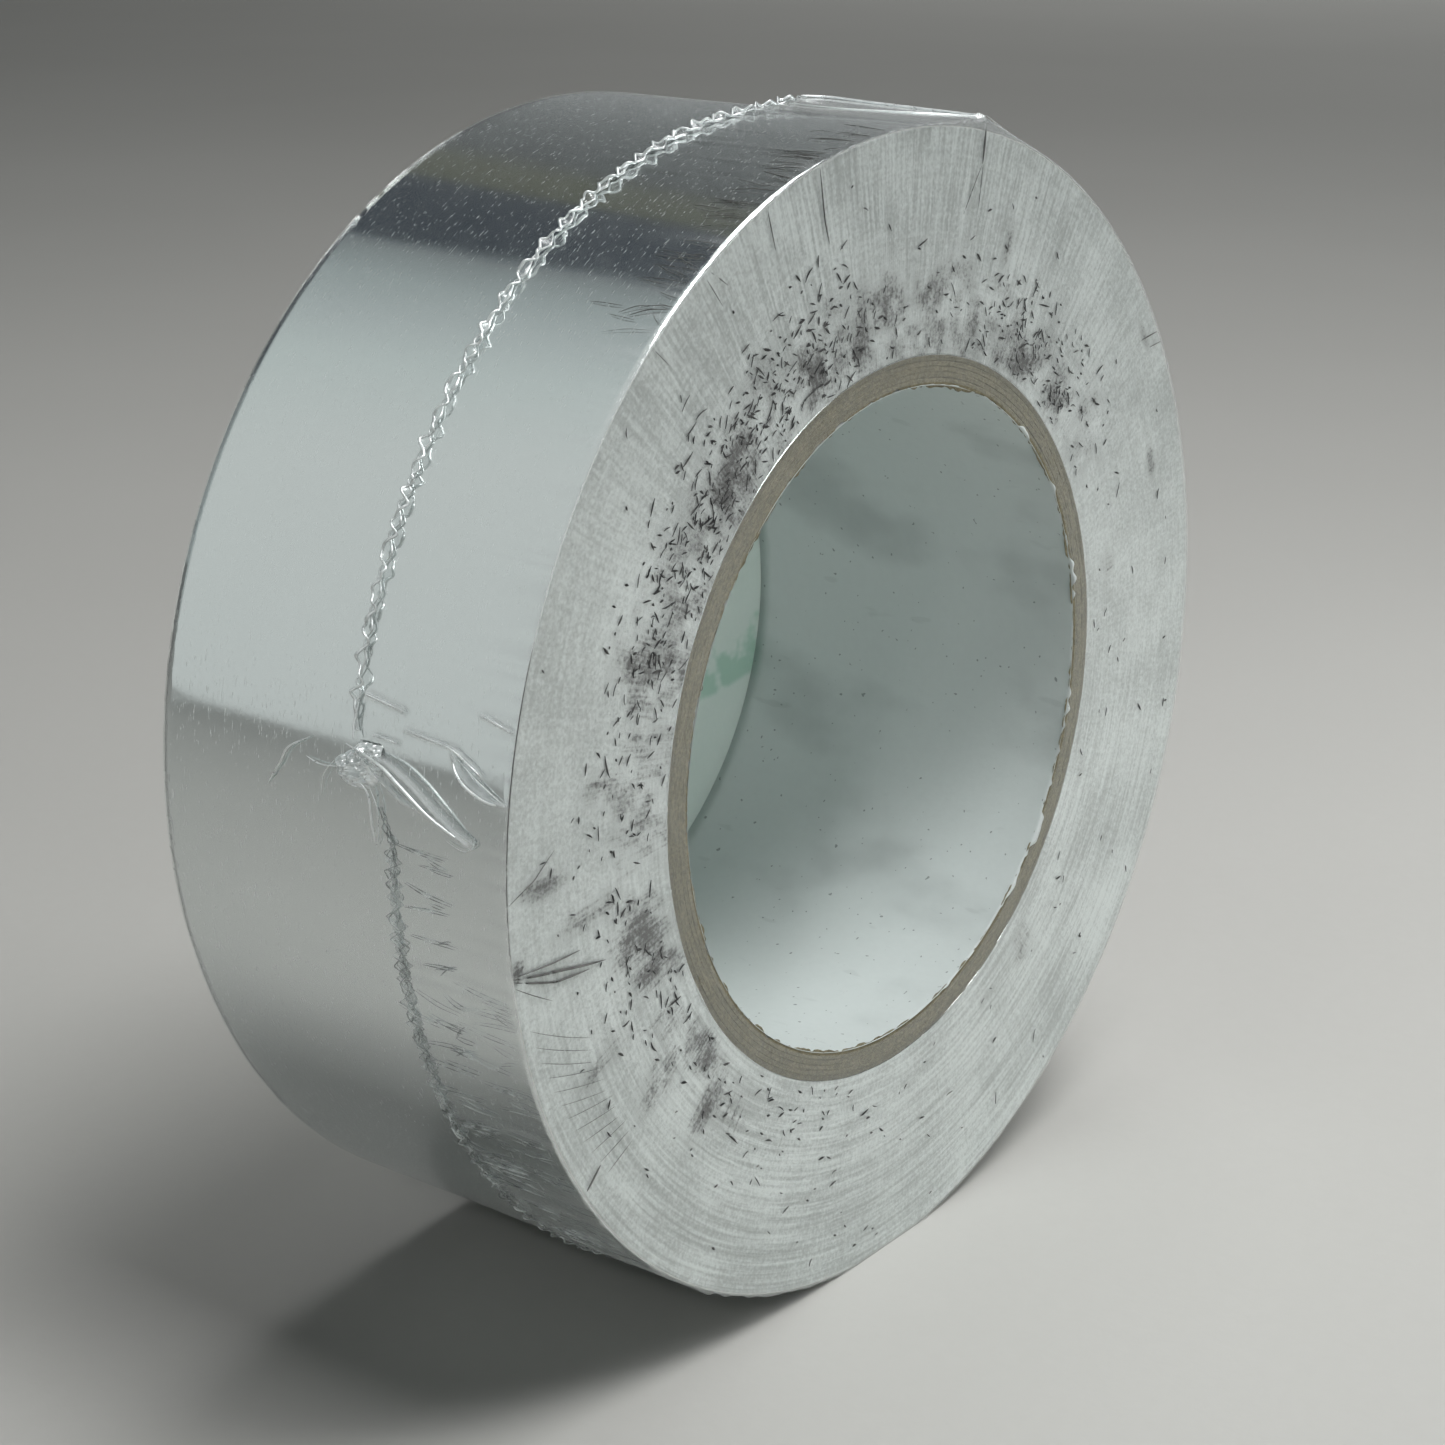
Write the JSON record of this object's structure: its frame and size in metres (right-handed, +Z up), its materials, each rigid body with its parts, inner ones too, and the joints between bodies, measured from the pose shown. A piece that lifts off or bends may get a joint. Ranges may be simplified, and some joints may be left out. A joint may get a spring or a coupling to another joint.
{
  "type": "roll of aluminium foil tape",
  "caption": "Roll of foil-backed duct sealing tape on a paper core, standing on its rim in clear shrink film with a crimped seal round the rim.",
  "frame": {"origin": "middle of the roll: the point on the core's axis halfway between its two faces", "axes": "+Y along the core's axis from the open front face to the labelled rear face; +Z up, away from the flat patch on the rim that the roll stands on; +X to the right seen from the front"},
  "size_m": [0.1364, 0.0483, 0.135],
  "materials": {
    "core_lining": "smooth white paper",
    "core_kraft": "cut edge of wound kraft board",
    "foil": "bright rolled foil",
    "tape_edges": "slit edges of foil and white release paper",
    "release_liner": "silicone-coated white paper",
    "adhesive": "tacky acrylic adhesive",
    "label_card": "coated card",
    "shrink_film": "clear glossy shrink film",
    "film_seal": "crimped and bunched clear film"
  },
  "bodies": {
    "root": {"core_lining": "core_lining", "core_ply_1": "core_kraft", "core_ply_2": "core_kraft", "core_ply_3": "core_kraft", "core_ply_4": "core_kraft", "core_ply_5": "core_kraft", "tape_start_lap": "foil", "tape_laps": "tape_edges", "outer_liner": "release_liner", "outer_adhesive": "adhesive", "outer_foil": "foil", "label_card": "label_card", "front_film": "shrink_film", "rear_film": "shrink_film", "upper_left_seal": "film_seal", "lower_left_seal": "film_seal", "lower_right_seal": "film_seal", "right_corner": "film_seal", "top_corner": "film_seal", "left_corner": "film_seal", "bottom_corner": "film_seal"}
  },
  "joints": []
}
